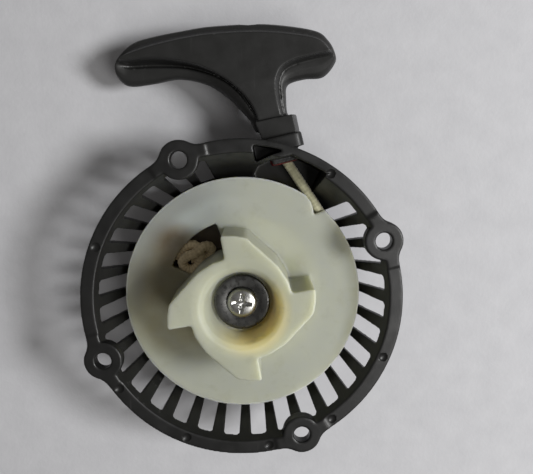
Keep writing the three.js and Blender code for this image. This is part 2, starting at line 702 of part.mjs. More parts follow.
// The handle's side view in (along the pull line, across its thickness), over its whole width.
function sideView() {
  const half = HANDLE_THICKNESS / 2 + 1;
  const reach = 70;
  const side = (sign) => [
    new THREE.Vector2(-1, sign * NECK_HALF_THICKNESS),
    new THREE.Vector2(COLLAR_LENGTH, sign * NECK_HALF_THICKNESS),
    new THREE.Vector2(NECK_END, sign * half),
    new THREE.Vector2(reach, sign * half),
  ];
  const block = toGeometry(prism([...side(-1), ...side(1).reverse()], -reach, reach));
  block.applyMatrix4(new THREE.Matrix4().set(0, 0, 1, 0, 1, 0, 0, 0, 0, 1, 0, 0, 0, 0, 0, 1));
  return toManifold(block);
}

function handle() {
  const outline = new THREE.ExtrudeGeometry(handleOutline(), {
    depth: HANDLE_THICKNESS - 2 * HANDLE_EDGE_DEPTH,
    curveSegments: 6,
    bevelEnabled: true,
    bevelThickness: HANDLE_EDGE_DEPTH,
    bevelSize: HANDLE_EDGE,
    bevelOffset: -HANDLE_EDGE,
    bevelSegments: 2,
  });
  outline.translate(0, 0, -HANDLE_THICKNESS / 2 + HANDLE_EDGE_DEPTH);
  const grip = toManifold(outline).intersect(sideView());
  const collar = prism(
    roundedRectangle(2 * COLLAR_HALF_WIDTH, COLLAR_LENGTH, COLLAR_CORNER, 1),
    -COLLAR_HALF_THICKNESS, COLLAR_HALF_THICKNESS,
  ).translate([COLLAR_SHIFT, COLLAR_LENGTH / 2, 0]);
  const alongY = (solid) => toManifold(toGeometry(solid).rotateX(-Math.PI / 2));
  return cut(join([grip, collar]), [
    alongY(cylinder(HANDLE_BORE_R, -1, KNOT_POCKET_START + 1, 20)),
    alongY(cylinder(KNOT_POCKET_R, KNOT_POCKET_START, 70, 32)),
  ]);
}

function ropeInHandle() {
  const end = KNOT_POCKET_START + GAP;
  return toManifold(toGeometry(cylinder(ROPE_R, GAP, end, 12)).rotateX(-Math.PI / 2));
}

function handleKnot() {
  const half = KNOT_FLATNESS * KNOT_R;
  const geometry = new THREE.SphereGeometry(KNOT_R, 16, 10);
  geometry.scale(1, KNOT_FLATNESS, 1);
  geometry.translate(0, KNOT_POCKET_START + 2 * GAP + half, 0);
  return toManifold(geometry);
}

// Scene graph

const finishes = {
  blackPlastic: { color: 0x232425, roughness: 0.55, metalness: 0 },
  handlePlastic: { color: 0x2a2a28, roughness: 0.6, metalness: 0 },
  nylon: { color: 0xd2d3bd, roughness: 0.45, metalness: 0 },
  steel: { color: 0x9a9a98, roughness: 0.3, metalness: 1 },
  springSteel: { color: 0x4a4c52, roughness: 0.4, metalness: 1 },
  brass: { color: 0xb08d4a, roughness: 0.35, metalness: 1 },
  rope: { color: 0xcfc9a0, roughness: 0.9, metalness: 0 },
  redPlastic: { color: 0x7a1a1c, roughness: 0.5, metalness: 0 },
};

function mesh(name, solid, finish) {
  const piece = new THREE.Mesh(toGeometry(solid), new THREE.MeshStandardMaterial(finishes[finish]));
  piece.name = name;
  return piece;
}

const starter = new THREE.Group();
starter.add(
  mesh('housing', housing(), 'blackPlastic'),
  mesh('reel', reel(), 'nylon'),
  mesh('retaining_washer', washer(), 'steel'),
  mesh('centre_screw', screw(), 'steel'),
  mesh('threaded_insert', insert(), 'brass'),
  mesh('rewind_spring', spring(), 'springSteel'),
  mesh('rope_winding', winding(), 'rope'),
  mesh('rope_run', ropeRun(), 'rope'),
  mesh('reel_knot', reelKnot(), 'rope'),
  mesh('rope_guide', guide(), 'redPlastic'),
);

const handleGroup = new THREE.Group();
const handleStart = pullPoint(BOSS_END + GAP, 0);
handleGroup.position.set(handleStart.x, handleStart.y, ROPE_Z);
handleGroup.rotation.set(0, -HANDLE_ROLL, PULL_ANGLE - Math.PI / 2, 'ZYX');
handleGroup.add(
  mesh('handle', handle(), 'handlePlastic'),
  mesh('rope_in_handle', ropeInHandle(), 'rope'),
  mesh('handle_knot', handleKnot(), 'rope'),
);
starter.add(handleGroup);

export default starter;
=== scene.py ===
import math

import bmesh
import bpy
import numpy as np
from mathutils import Matrix, Vector


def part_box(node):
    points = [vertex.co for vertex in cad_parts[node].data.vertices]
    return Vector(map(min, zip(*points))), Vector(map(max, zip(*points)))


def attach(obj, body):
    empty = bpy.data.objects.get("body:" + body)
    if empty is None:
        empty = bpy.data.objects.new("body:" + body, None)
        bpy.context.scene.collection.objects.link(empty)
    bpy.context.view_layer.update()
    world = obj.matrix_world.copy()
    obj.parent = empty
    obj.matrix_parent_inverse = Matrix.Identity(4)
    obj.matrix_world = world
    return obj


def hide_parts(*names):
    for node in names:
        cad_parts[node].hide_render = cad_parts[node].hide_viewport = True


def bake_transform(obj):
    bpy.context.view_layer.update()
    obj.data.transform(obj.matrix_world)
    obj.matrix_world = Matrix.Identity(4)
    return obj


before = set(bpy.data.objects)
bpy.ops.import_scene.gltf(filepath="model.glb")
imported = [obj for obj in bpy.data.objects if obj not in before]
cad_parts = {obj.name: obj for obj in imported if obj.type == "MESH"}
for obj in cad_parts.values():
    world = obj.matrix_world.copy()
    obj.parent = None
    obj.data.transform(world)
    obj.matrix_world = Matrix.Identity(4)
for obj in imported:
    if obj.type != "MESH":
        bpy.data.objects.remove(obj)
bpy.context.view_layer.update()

# Recoil starter: the fine shapes and the finishes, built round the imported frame.
# Shapes are modelled in millimetres in the frame's axes and scaled to metres when they are
# placed. The reel's axis is Z, and the outer face lies on the table at height 0.

MM = 0.001


def node_box(name):
    """Lowest and highest corner of a CAD node, in millimetres, to a hundredth."""
    low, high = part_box(name)
    return [round(v / MM, 2) for v in low], [round(v / MM, 2) for v in high]


HOUSING_LOW, HOUSING_HIGH = node_box("housing")
REEL_LOW, REEL_HIGH = node_box("reel")
WASHER_LOW, WASHER_HIGH = node_box("retaining_washer")
SCREW_LOW, SCREW_HIGH = node_box("centre_screw")
INSERT_LOW, INSERT_HIGH = node_box("threaded_insert")
SPRING_LOW, SPRING_HIGH = node_box("rewind_spring")

# Sizes, in millimetres. Each group below is one part of the object.

PAD_RISE = 0.6
RING_Z = HOUSING_HIGH[2] - PAD_RISE
RING_R = -HOUSING_LOW[0]
RING_THICKNESS = 3.6
MOUTH_R = 59.6
WALL_LEAN = math.radians(22.7)
WALL = 2.7
FLOOR = 3.0
FACE_CHAMFER = 1.4

SLOT_POSITIONS = 32
SLOT_WIDTH = 6.4
SLOT_CORNER = 1.3
SLOT_TOP = RING_Z - 3.8
SLOT_BOTTOM = 8.0
PLAIN_FROM = 44
PLAIN_TO = 105

EAR_COUNT = 4
EAR_ANGLE = 23.4
EAR_CIRCLE_R = 61.7
EAR_R = 7.8
EAR_HOLE_R = 3.35
EAR_THICKNESS = 5.6
EAR_FILLET = 8.0
PAD_HALF_ANGLE = 11
PAD_STEPS = 3

POST_R = 8.0
POST_BORE_R = 4.8
POST_TOP = RING_Z - 0.8
WELL_R = 41.0
WELL_WALL = 2.0
WELL_Z = 14.0
FACE_GROOVE_R = 27.0
FACE_GROOVE_WIDTH = 3.0
FACE_GROOVE_DEPTH = 0.8

PULL_ANGLE = math.radians(104)
PULL_OFFSET = 30.3
CHAMBER_FACE = 52.0
CHAMBER_R = 61.3
CHAMBER_FLOOR_Z = 12.0
CHAMBER_WALL = 2.5
CHAMBER_END = 57
CHAMBER_EDGE = 5
BOSS_END = 60.3
BOSS_HALF_WIDTH = 9.3
BOSS_HALF_HEIGHT = 10.5
HOOD_TOP = 30.0
POCKET_DEPTH = 12.0

REEL_TOP = RING_Z - 13.6
REEL_R = REEL_HIGH[0]
LOWER_FLANGE_R = REEL_R - 1.0
FLANGE = 1.8
GROOVE = 4.4
DRUM_R = 33.0
WINDOW_R = 32.0
WINDOW_FROM = 110
WINDOW_TO = 158.5
WINDOW_FLOOR = 1.4
GROOVE_TOP = REEL_TOP - FLANGE
GROOVE_BOTTOM = GROOVE_TOP - GROOVE
REEL_BOTTOM = GROOVE_BOTTOM - FLANGE
ROPE_Z = (GROOVE_TOP + GROOVE_BOTTOM) / 2
HUB_TOP = REEL_HIGH[2]
BORE_R = POST_R + 0.3
ARBOR_R = BORE_R + 3.6
ARBOR_BOTTOM = REEL_LOW[2]

ROPE_R = 1.9
ROPE_TURN_R = 46.26
INNER_TURN_R = 34.9
WRAP_ANGLE = 8
FULL_TURNS = 3
WINDOW_EXIT_ANGLE = 150
GUIDE_FACE = 49.0
GUIDE_FLANGE = 3.2
GUIDE_FLANGE_R = 5.64
GUIDE_MOUTH_R = 3.64
GUIDE_BORE_R = 2.45
GUIDE_R = 3.7
GUIDE_END = 58.3
BEND_ALONG = GUIDE_FACE + 3.4
BEND_REACH = 2.0

WASHER_R = WASHER_HIGH[0]
WASHER_BOTTOM = WASHER_LOW[2]
WASHER_TOP = WASHER_HIGH[2]
SCREW_R = 3.0
SCREW_SEAT = WASHER_TOP + 0.3
SCREW_TIP = SCREW_LOW[2]
HEAD_R = SCREW_HIGH[0]
HEAD_TOP = SCREW_HIGH[2]
INSERT_R = INSERT_HIGH[0]
INSERT_TOP = INSERT_HIGH[2]
INSERT_BOTTOM = INSERT_LOW[2]

HANDLE_ROLL = math.radians(9)
HANDLE_HALF = 10.9
NECK_HALF = 6.4
COLLAR_LENGTH = 7.4
COLLAR_HALF_THICKNESS = 7.6
KNOT_POCKET_START = 33.0
KNOT_POCKET_R = 6.4
PULL_TRAVEL = 891.0


# Mesh building

def polar(r, degrees):
    """The point r from the axis, at an angle from +X."""
    a = math.radians(degrees)
    return np.array([r * math.cos(a), r * math.sin(a)])


def arc(r, start, end, steps, centre=(0, 0)):
    return [polar(r, a) + centre for a in np.linspace(start, end, steps + 1)]


def sector(inner, outer, start, end, steps=24):
    return arc(inner, start, end, steps) + arc(outer, end, start, steps)


def rounded_rectangle(width, height, corner, steps=5):
    points = []
    for sx, sy, start in ((1, 1, 0), (-1, 1, 90), (-1, -1, 180), (1, -1, 270)):
        centre = (sx * (width / 2 - corner), sy * (height / 2 - corner))
        points += arc(corner, start, start + 90, steps, centre)
    return points


def rounded(points, radius, steps=5):
    """The outline with each corner replaced by a curve that starts at most radius from it."""
    count = len(points)
    result = []
    for i, p in enumerate(points):
        p = np.array(p, float)
        before = np.array(points[i - 1], float) - p
        after = np.array(points[(i + 1) % count], float) - p
        reach = min(radius, 0.45 * np.linalg.norm(before), 0.45 * np.linalg.norm(after))
        a = p + before / np.linalg.norm(before) * reach
        b = p + after / np.linalg.norm(after) * reach
        for t in np.linspace(0, 1, steps + 1):
            result.append((1 - t) ** 2 * a + 2 * t * (1 - t) * p + t * t * b)
    return result


def lathe(profile, segments=256):
    """A closed shell: [radius, height] points turned about Z."""
    profile = [(r, z) for r, z in profile]
    closed = profile[0][0] > 1e-6
    vertices, rings = [], []
    for r, z in profile:
        if r < 1e-6:
            rings.append([len(vertices)])
            vertices.append((0, 0, z))
        else:
            start = len(vertices)
            rings.append(list(range(start, start + segments)))
            for a in np.linspace(0, 2 * math.pi, segments, endpoint=False):
                vertices.append((r * math.cos(a), r * math.sin(a), z))
    faces = []
    pairs = list(zip(rings, rings[1:] + rings[:1])) if closed else list(zip(rings, rings[1:]))
    for low, high in pairs:
        for k in range(segments):
            n = (k + 1) % segments
            if len(low) == 1 and len(high) == 1:
                continue
            if len(low) == 1:
                faces.append((low[0], high[n], high[k]))
            elif len(high) == 1:
                faces.append((low[k], low[n], high[0]))
            else:
                faces.append((low[k], low[n], high[n], high[k]))
    return np.array(vertices, float), faces


def prism(outline, bottom, top):
    """A closed shell: an outline raised from bottom to top."""
    count = len(outline)
    vertices = [(x, y, bottom) for x, y in outline] + [(x, y, top) for x, y in outline]
    faces = [tuple(range(count))[::-1], tuple(range(count, 2 * count))]
    faces += [(i, (i + 1) % count, (i + 1) % count + count, i + count) for i in range(count)]
    return np.array(vertices, float), faces


def cylinder(radius, bottom, top, segments=64):
    return lathe([(0, bottom), (radius, bottom), (radius, top), (0, top)], segments)


def moved(shell, matrix):
    vertices, faces = shell
    m = np.array(matrix, float)
    return vertices @ m[:3, :3].T + m[:3, 3], faces


def at(shell, x, y):
    return moved(shell, Matrix.Translation((x, y, 0)))


def solid(name, shell):
    """A mesh object of one closed shell, its faces turned outwards."""
    vertices, faces = shell
    mesh = bpy.data.meshes.new(name)
    mesh.from_pydata([tuple(v) for v in vertices], [], faces)
    obj = bpy.data.objects.new(name, mesh)
    bpy.context.scene.collection.objects.link(obj)
    bm = bmesh.new()
    bm.from_mesh(mesh)
    bmesh.ops.triangulate(bm, faces=[f for f in bm.faces if len(f.verts) > 4])
    bmesh.ops.recalc_face_normals(bm, faces=bm.faces)
    if bm.calc_volume(signed=True) < 0:
        bmesh.ops.reverse_faces(bm, faces=bm.faces)
    bm.to_mesh(mesh)
    bm.free()
    return obj


def apply_modifiers(obj):
    graph = bpy.context.evaluated_depsgraph_get()
    graph.update()
    mesh = bpy.data.meshes.new_from_object(obj.evaluated_get(graph))
    obj.modifiers.clear()
    old = obj.data
    obj.data = mesh
    bpy.data.meshes.remove(old)
    return obj


def combine(obj, shells, operation):
    """Joins shells to obj or cuts them from it, one after the other."""
    for shell in shells:
        tool = solid("tool", shell)
        modifier = obj.modifiers.new("combine", "BOOLEAN")
        modifier.solver = "MANIFOLD"
        modifier.operation = operation
        modifier.object = tool
        apply_modifiers(obj)
        mesh = tool.data
        bpy.data.objects.remove(tool)
        bpy.data.meshes.remove(mesh)
    return obj


def join(obj, *shells):
    return combine(obj, shells, "UNION")


def cut(obj, *shells):
    return combine(obj, shells, "DIFFERENCE")


def soften(obj, voxel, rounds):
    """Remeshes to an even grid and rounds the edges off."""
    remesh = obj.modifiers.new("remesh", "REMESH")
    remesh.mode = "VOXEL"
    remesh.voxel_size = voxel
    smooth = obj.modifiers.new("smooth", "SMOOTH")
    smooth.factor = 0.5
    smooth.iterations = rounds
    return apply_modifiers(obj)


def place(obj, body, material, nodes=()):
    """Scales a piece from millimetres to metres, gives it its finish and hangs it on its body."""
    obj.data.transform(Matrix.Scale(MM, 4))
    obj.data.polygons.foreach_set("use_smooth", [True] * len(obj.data.polygons))
    obj.data.materials.clear()
    obj.data.materials.append(material)
    if nodes:
        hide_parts(*nodes)
    if body:
        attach(obj, body)
    return obj


# Finishes

def finish_tree(name, **values):
    """A material with its shader and its object-space coordinates."""
    material = bpy.data.materials.new(name)
    material.use_nodes = True
    tree = material.node_tree
    shader = tree.nodes["Principled BSDF"]
    for key, value in values.items():
        shader.inputs[key.replace("_", " ")].default_value = value
    coordinates = tree.nodes.new("ShaderNodeTexCoord").outputs["Object"]
    return material, tree, shader, coordinates


def noise(tree, coordinates, scale, detail=4.0, roughness=0.55):
    node = tree.nodes.new("ShaderNodeTexNoise")
    node.inputs["Scale"].default_value = scale
    node.inputs["Detail"].default_value = detail
    node.inputs["Roughness"].default_value = roughness
    tree.links.new(coordinates, node.inputs["Vector"])
    return node.outputs["Fac"]


def stretched(tree, coordinates, scale, rotation):
    node = tree.nodes.new("ShaderNodeMapping")
    node.inputs["Scale"].default_value = scale
    node.inputs["Rotation"].default_value = rotation
    tree.links.new(coordinates, node.inputs["Vector"])
    return node.outputs["Vector"]


def ramp(tree, value, stops):
    """stops are (position, grey or colour)."""
    node = tree.nodes.new("ShaderNodeValToRGB")
    elements = node.color_ramp.elements
    while len(elements) < len(stops):
        elements.new(0.5)
    for element, (position, colour) in zip(elements, stops):
        element.position = position
        rgb = (colour,) * 3 if isinstance(colour, (int, float)) else colour
        element.color = (*rgb, 1)
    tree.links.new(value, node.inputs["Fac"])
    return node.outputs["Color"]


def mix(tree, factor, a, b):
    node = tree.nodes.new("ShaderNodeMix")
    node.data_type = "RGBA"
    for socket, value in ((node.inputs[0], factor), (node.inputs[6], a), (node.inputs[7], b)):
        if isinstance(value, bpy.types.NodeSocket):
            tree.links.new(value, socket)
        elif isinstance(value, (int, float)):
            socket.default_value = value
        else:
            socket.default_value = (*value, 1)
    return node.outputs[2]


def maths(tree, operation, a, b=0.0):
    node = tree.nodes.new("ShaderNodeMath")
    node.operation = operation
    for socket, value in zip(node.inputs, (a, b)):
        if isinstance(value, bpy.types.NodeSocket):
            tree.links.new(value, socket)
        else:
            socket.default_value = value
    return node.outputs[0]


def bump(tree, shader, height, strength, distance):
    node = tree.nodes.new("ShaderNodeBump")
    node.inputs["Strength"].default_value = strength
    node.inputs["Distance"].default_value = distance
    tree.links.new(height, node.inputs["Height"])
    tree.links.new(node.outputs["Normal"], shader.inputs["Normal"])


def blob(tree, where, centre, radius, soft):
    """1 within radius of a point, falling to 0 over soft; all in millimetres."""
    distance = tree.nodes.new("ShaderNodeVectorMath")
    distance.operation = "DISTANCE"
    tree.links.new(where, distance.inputs[0])
    distance.inputs[1].default_value = tuple(c * MM for c in centre)
    return fade(tree, distance.outputs["Value"], (radius + soft) * MM, radius * MM)


def fade(tree, value, low, high):
    """0 at low, 1 at high, with a smooth turn between them."""
    node = tree.nodes.new("ShaderNodeMapRange")
    node.interpolation_type = "SMOOTHSTEP"
    tree.links.new(value, node.inputs["Value"])
    node.inputs["From Min"].default_value = low
    node.inputs["From Max"].default_value = high
    return node.outputs["Result"]


def axis_distance(tree, where):
    flat = tree.nodes.new("ShaderNodeVectorMath")
    flat.operation = "MULTIPLY"
    tree.links.new(where, flat.inputs[0])
    flat.inputs[1].default_value = (1, 1, 0)
    length = tree.nodes.new("ShaderNodeVectorMath")
    length.operation = "LENGTH"
    tree.links.new(flat.outputs[0], length.inputs[0])
    return length.outputs["Value"]


def edge_wear(tree, low, high):
    """White on sharp outer edges, black elsewhere."""
    geometry = tree.nodes.new("ShaderNodeNewGeometry")
    return ramp(tree, geometry.outputs["Pointiness"], ((low, 0), (high, 1)))


def black_plastic(name, dark, light, roughness, scuffs, gloss):
    """Moulded black plastic with fine grain, faint scratches in patches and paler worn edges."""
    material, tree, shader, where = finish_tree(name, IOR=1.49, Specular_IOR_Level=gloss)
    patches = noise(tree, where, 60, 5)
    base = mix(tree, patches, dark, light)
    scratch_space = stretched(tree, where, (900, 60, 400), (0.3, 0.2, 0.7))
    scratches = ramp(tree, noise(tree, scratch_space, 1.0, 2), ((0.66, 0), (0.72, 1)))
    worn = ramp(tree, noise(tree, where, 45, 3), ((0.5, 0), (0.68, 1)))
    marks = maths(tree, "MULTIPLY", scratches, worn)
    marks = maths(tree, "MULTIPLY", marks, scuffs)
    edges = maths(tree, "MULTIPLY", edge_wear(tree, 0.53, 0.62), 0.35)
    wear = maths(tree, "MAXIMUM", marks, edges)
    colour = mix(tree, wear, base, tuple(min(1, c * 3.2 + 0.02) for c in light))
    tree.links.new(colour, shader.inputs["Base Color"])
    grain = noise(tree, where, 2600, 3, 0.6)
    smear = ramp(tree, noise(tree, where, 160, 4),
                 ((0.3, roughness - 0.08), (0.7, roughness + 0.1)))
    tree.links.new(smear, shader.inputs["Roughness"])
    height = maths(tree, "ADD", grain, maths(tree, "MULTIPLY", marks, 0.6))
    bump(tree, shader, height, 0.35, 0.00006)
    return material


def nylon():
    """Milky nylon: bluish at the upper left, yellowed round the washer and painted paler there for
    light shining through, painted warm shade beside the hub, under the knot and in the tooth gaps,
    painted shade inside the knot window and a painted highlight on the rim. Centres are in
    millimetres."""
    material, tree, shader, where = finish_tree(
        "reel_nylon", IOR=1.53, Subsurface_Weight=1.0, Subsurface_Scale=0.012,
        Subsurface_Radius=(1.0, 0.95, 0.6),
    )
    radius = axis_distance(tree, where)
    colour = mix(tree, noise(tree, where, 30, 3), (0.335, 0.345, 0.265), (0.41, 0.42, 0.335))
    bluish = maths(tree, "MULTIPLY", blob(tree, where, (-26, 38, 24), 6, 26), 0.75)
    colour = mix(tree, bluish, colour, (0.36, 0.39, 0.36))
    # Yellowed nylon round the washer, painted paler than it is to stand in for light shining through
    # the recess wall.
    inner = maths(tree, "MULTIPLY", fade(tree, radius, 21 * MM, 14 * MM), 0.75)
    inner = maths(tree, "MULTIPLY", inner, blob(tree, where, (9, -7, 46), 9, 13))
    colour = mix(tree, inner, colour, (0.88, 0.77, 0.36))
    # Painted warm shade, made patchy: where the hub and the knot shade the disc, and in the gaps
    # between the hub's teeth.
    for centre, size, soft, strength, tint in (
        ((-28, -6, 24), 12, 15, 0.65, (0.27, 0.235, 0.105)),
        ((-29.5, 21, 24), 3, 10, 0.85, (0.17, 0.11, 0.045)),
        ((-37, 8, 24), 3, 13, 0.5, (0.22, 0.17, 0.085)),
        ((-24, -4, 24), 2, 9, 0.6, (0.13, 0.12, 0.045)),
        ((20, 12, 30), 2, 7, 0.55, (0.26, 0.27, 0.12)),
        ((-8, -24, 30), 2, 7, 0.6, (0.22, 0.2, 0.09)),
    ):
        amount = maths(tree, "MULTIPLY", blob(tree, where, centre, size, soft), strength)
        patches = ramp(tree, noise(tree, where, 90, 3), ((0.3, 0.65), (0.6, 1)))
        patchy = maths(tree, "MULTIPLY", amount, patches)
        colour = mix(tree, patchy, colour, tint)
    # Painted shade: the knot window's floor turns dark brown below 23 mm.
    parts = tree.nodes.new("ShaderNodeSeparateXYZ")
    tree.links.new(where, parts.inputs[0])
    deep = fade(tree, parts.outputs["Z"], 23 * MM, 19 * MM)
    painted_window_shade = maths(tree, "MULTIPLY", deep, blob(tree, where, (-21, 16, 19), 13, 6))
    colour = mix(tree, painted_window_shade, colour, (0.10, 0.07, 0.035))
    smudges = ramp(tree, noise(tree, where, 140, 5, 0.6), ((0.56, 0), (0.74, 0.35)))
    colour = mix(tree, smudges, colour, (0.27, 0.26, 0.17))
    outer_band = fade(tree, radius, 39 * MM, 45 * MM)
    outer = maths(tree, "MULTIPLY", outer_band, blob(tree, where, (-38, 26, 24), 18, 30))
    colour = mix(tree, maths(tree, "MULTIPLY", outer, 0.6), colour, (0.19, 0.195, 0.18))
    # Painted highlight: a thin pale band along the reel's outer edge.
    painted_rim_highlight = maths(tree, "MULTIPLY", fade(tree, radius, (REEL_R - 1.0) * MM, (REEL_R - 0.2) * MM), 0.6)
    colour = mix(tree, painted_rim_highlight, colour, (0.62, 0.64, 0.52))
    tree.links.new(colour, shader.inputs["Base Color"])
    smear = ramp(tree, noise(tree, where, 120, 4), ((0.3, 0.44), (0.7, 0.58)))
    tree.links.new(smear, shader.inputs["Roughness"])
    rings = tree.nodes.new("ShaderNodeTexWave")
    rings.wave_type = "RINGS"
    rings.rings_direction = "Z"
    rings.inputs["Scale"].default_value = 320
    rings.inputs["Distortion"].default_value = 1.5
    tree.links.new(where, rings.inputs["Vector"])
    turning_marks = maths(tree, "MULTIPLY", rings.outputs["Fac"], 0.2)
    bump(tree, shader, maths(tree, "ADD", noise(tree, where, 700, 3), turning_marks), 0.2, 0.00008)
    return material


def steel(name, dark, light, roughness):
    """Plain metal, slightly patchy in tone and gloss."""
    material, tree, shader, where = finish_tree(name, Metallic=1.0, IOR=2.5)
    patches = noise(tree, where, 300, 4)
    tree.links.new(mix(tree, patches, dark, light), shader.inputs["Base Color"])
    smear = ramp(tree, noise(tree, where, 500, 4),
                 ((0.3, roughness - 0.06), (0.7, roughness + 0.12)))
    tree.links.new(smear, shader.inputs["Roughness"])
    bump(tree, shader, noise(tree, where, 2500, 3), 0.25, 0.00003)
    return material


def cord_finish(name, dark, light):
    """Braided polyester: pale strands, painted shade in the valleys between them."""
    material, tree, shader, where = finish_tree(name, Roughness=0.85, Sheen_Weight=0.25)
    geometry = tree.nodes.new("ShaderNodeNewGeometry")
    # Painted shade: the cord is darker where the surface is hollow, between the strands.
    crown = ramp(tree, geometry.outputs["Pointiness"], ((0.42, 0), (0.53, 1)))
    fibres = noise(tree, where, 2600, 4, 0.6)
    blotches = ramp(tree, noise(tree, where, 250, 3), ((0.35, 0.45), (0.65, 1)))
    amount = maths(tree, "MULTIPLY", crown, blotches)
    base = mix(tree, amount, dark, light)
    base = mix(tree, maths(tree, "MULTIPLY", fibres, 0.35), base, dark)
    tree.links.new(base, shader.inputs["Base Color"])
    bump(tree, shader, fibres, 0.6, 0.0001)
    return material


def red_plastic():
    material, tree, shader, where = finish_tree("guide_red", Roughness=0.45)
    colour = mix(tree, noise(tree, where, 400), (0.09, 0.008, 0.01), (0.14, 0.012, 0.014))
    tree.links.new(colour, shader.inputs["Base Color"])
    return material


housing_black = black_plastic(
    "housing_black", (0.006, 0.006, 0.006), (0.012, 0.012, 0.0115),
    roughness=0.38, scuffs=0.4, gloss=0.34,
)
handle_black = black_plastic(
    "handle_black", (0.013, 0.013, 0.0125), (0.018, 0.018, 0.0175),
    roughness=0.45, scuffs=0.15, gloss=0.45,
)
reel_nylon = nylon()
washer_steel = steel("washer_steel", (0.06, 0.06, 0.06), (0.13, 0.13, 0.125), 0.27)
screw_steel = steel("screw_steel", (0.33, 0.33, 0.32), (0.52, 0.52, 0.5), 0.28)
spring_blue = steel("spring_blue", (0.05, 0.055, 0.07), (0.12, 0.12, 0.13), 0.35)
insert_brass = steel("insert_brass", (0.45, 0.3, 0.1), (0.6, 0.42, 0.16), 0.3)
rope_cream = cord_finish("rope_cream", (0.24, 0.23, 0.13), (0.70, 0.68, 0.47))
# The knot's cord is tan, and painted paler than the rope to offset the shade it lies in within the
# window.
knot_tan_painted_lighter = cord_finish("knot_tan_painted_lighter", (0.34, 0.25, 0.13), (0.95, 0.80, 0.52))
guide_red = red_plastic()


# Placing along the pull line

def pull_point(along, across=0.0):
    """A point of the pull line, seen from above: along it, and across it to the right."""
    offset = PULL_OFFSET + across
    return np.array([
        along * math.cos(PULL_ANGLE) + offset * math.sin(PULL_ANGLE),
        along * math.sin(PULL_ANGLE) - offset * math.cos(PULL_ANGLE),
    ])


def on_pull_line(shell):
    """Lays a shell made along +Z onto the pull line at the rope's height."""
    start = pull_point(0)
    along = Vector((math.cos(PULL_ANGLE), math.sin(PULL_ANGLE), 0))
    across = Vector((math.sin(PULL_ANGLE), -math.cos(PULL_ANGLE), 0))
    m = Matrix.Identity(4)
    m.col[0][:3] = across
    m.col[1][:3] = (0, 0, -1)
    m.col[2][:3] = along
    m.col[3][:3] = (start[0], start[1], ROPE_Z)
    return moved(shell, m)


# Housing

def bowl_r(z):
    """The slotted wall's inner radius at a height."""
    return MOUTH_R - (RING_Z - z) * math.tan(WALL_LEAN)


def slot_cutter(angle):
    height = SLOT_TOP - SLOT_BOTTOM
    inner = bowl_r(SLOT_BOTTOM) - WALL
    shell = prism(rounded_rectangle(height, SLOT_WIDTH, SLOT_CORNER), 0, RING_R - inner)
    m = (
        Matrix.Rotation(math.radians(angle), 4, "Z")
        @ Matrix.Translation((inner, 0, (SLOT_TOP + SLOT_BOTTOM) / 2))
        @ Matrix.Rotation(math.pi / 2, 4, "Y")
    )
    return moved(shell, m)


def ear_fillet(angle, side):
    """Fills the corner between the ring and an ear with a concave curve."""
    a, b = RING_R + EAR_FILLET, EAR_R + EAR_FILLET
    turn = math.degrees(math.acos((EAR_CIRCLE_R ** 2 + a * a - b * b) / (2 * EAR_CIRCLE_R * a)))
    centre = polar(a, angle + side * turn)
    ear = polar(EAR_CIRCLE_R, angle)
    from_ring = -centre / np.linalg.norm(centre)
    to_ear = (ear - centre) / np.linalg.norm(ear - centre)
    start = math.degrees(math.atan2(from_ring[1], from_ring[0]))
    end = math.degrees(math.atan2(to_ear[1], to_ear[0]))
    end = start + (end - start + 180) % 360 - 180
    curve = arc(EAR_FILLET, start, end, 10, centre)
    return [polar(RING_R - 3.5, angle + side * turn)] + curve + [ear, polar(RING_R - 6, angle)]


def ejector_marks(obj):
    """Shallow round marks in the ring's face."""
    mark_r = 1.9
    depth = 0.16
    for angle in (55.7, 158.9, -144.2, -112, -79.9, -53.5, -22.2):
        x, y = polar((RING_R + MOUTH_R) / 2 - 0.2, angle)
        mark = [(0, RING_Z - depth), (mark_r - 0.1, RING_Z - depth), (mark_r, RING_Z + 1),
                (0, RING_Z + 1)]
        cut(obj, at(lathe(mark, 40), x, y))


